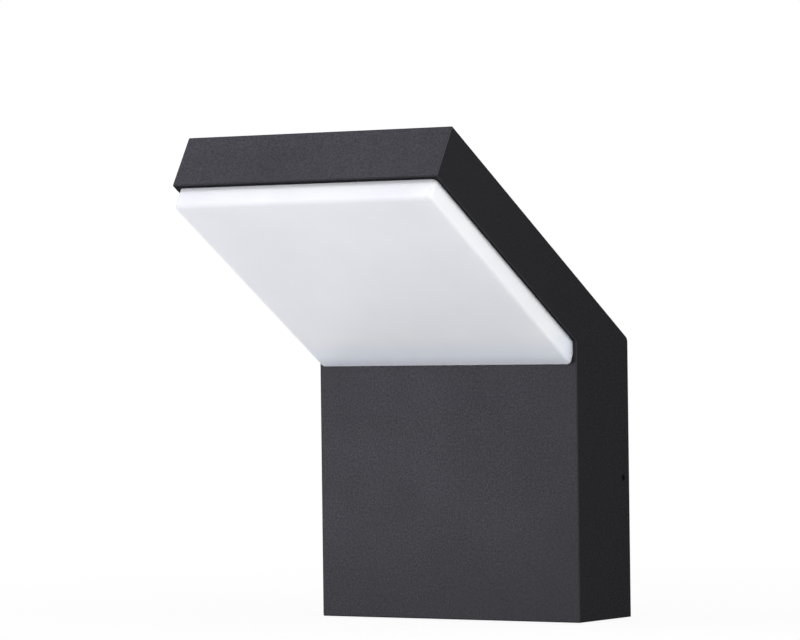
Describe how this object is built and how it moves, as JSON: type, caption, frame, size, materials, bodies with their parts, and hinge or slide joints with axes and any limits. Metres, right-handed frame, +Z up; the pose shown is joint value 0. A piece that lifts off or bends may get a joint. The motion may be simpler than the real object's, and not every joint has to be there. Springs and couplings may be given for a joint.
{
  "type": "wall light",
  "caption": "Outdoor wall light: a box against the wall bent into a sloping head with an opal diffuser under it, held on a hidden wall bracket by set screws.",
  "frame": {"origin": "on the wall, midway between the two fixing slots and midway up the box's rear edge", "axes": "+Z up, -Y out of the wall towards the front, +X to the right of a viewer who faces the wall"},
  "size_m": [0.14, 0.169, 0.2224],
  "materials": {
    "powder_coat": "satin",
    "zinc_steel": "satin",
    "black_steel": "satin",
    "opal": "satin",
    "silicone": "matte",
    "thermal_pad": "matte",
    "led_board": "satin",
    "led_chip": "satin",
    "white_plastic": "matte",
    "screw_steel": "satin",
    "black_rubber": "matte",
    "red_insulation": "satin",
    "black_insulation": "satin",
    "brown_insulation": "satin",
    "blue_insulation": "satin",
    "green_insulation": "satin",
    "circuit_board": "satin",
    "transformer": "satin",
    "capacitor": "satin",
    "terminal_plastic": "matte",
    "brass": "satin",
    "grey_plastic": "matte"
  },
  "bodies": {
    "bracket": {"wall_bracket": "zinc_steel"},
    "luminaire": {"housing": "powder_coat", "diffuser": "opal", "diffuser_seal": "silicone", "thermal_pad": "thermal_pad", "led_board": "led_board", "led_chips": "led_chip", "led_board_screws": "screw_steel", "led_connector": "white_plastic", "lead_grommet": "black_rubber", "led_lead_positive": "red_insulation", "led_lead_negative": "black_insulation", "driver_case": "white_plastic", "driver_lid": "white_plastic", "driver_board": "circuit_board", "driver_transformer": "transformer", "driver_capacitors": "capacitor", "driver_screws": "screw_steel", "terminal_block": "terminal_plastic", "terminal_clamps": "brass", "terminal_screws": "screw_steel", "terminal_block_screws": "screw_steel", "live_wire": "brown_insulation", "neutral_wire": "blue_insulation", "earth_wire": "green_insulation", "earth_ring": "brass", "earth_washer": "screw_steel", "earth_screw": "screw_steel", "cord_clamp": "grey_plastic", "cord_clamp_screws": "screw_steel", "back_cover": "grey_plastic", "back_cover_gasket": "black_rubber", "back_cover_screws": "screw_steel", "supply_grommet": "black_rubber"},
    "left_screw": {"side_screw_left": "black_steel"},
    "right_screw": {"side_screw_right": "black_steel"}
  },
  "joints": [
    {"name": "luminaire_pull", "type": "slide", "parent": "bracket", "child": "luminaire", "axis": [0, -1, 0], "range_m": [0, 0.03]},
    {"name": "left_screw_out", "type": "slide", "parent": "luminaire", "child": "left_screw", "axis": [-1, 0, 0], "range_m": [0, 0.002]},
    {"name": "right_screw_out", "type": "slide", "parent": "luminaire", "child": "right_screw", "axis": [1, 0, 0], "range_m": [0, 0.002]}
  ]
}
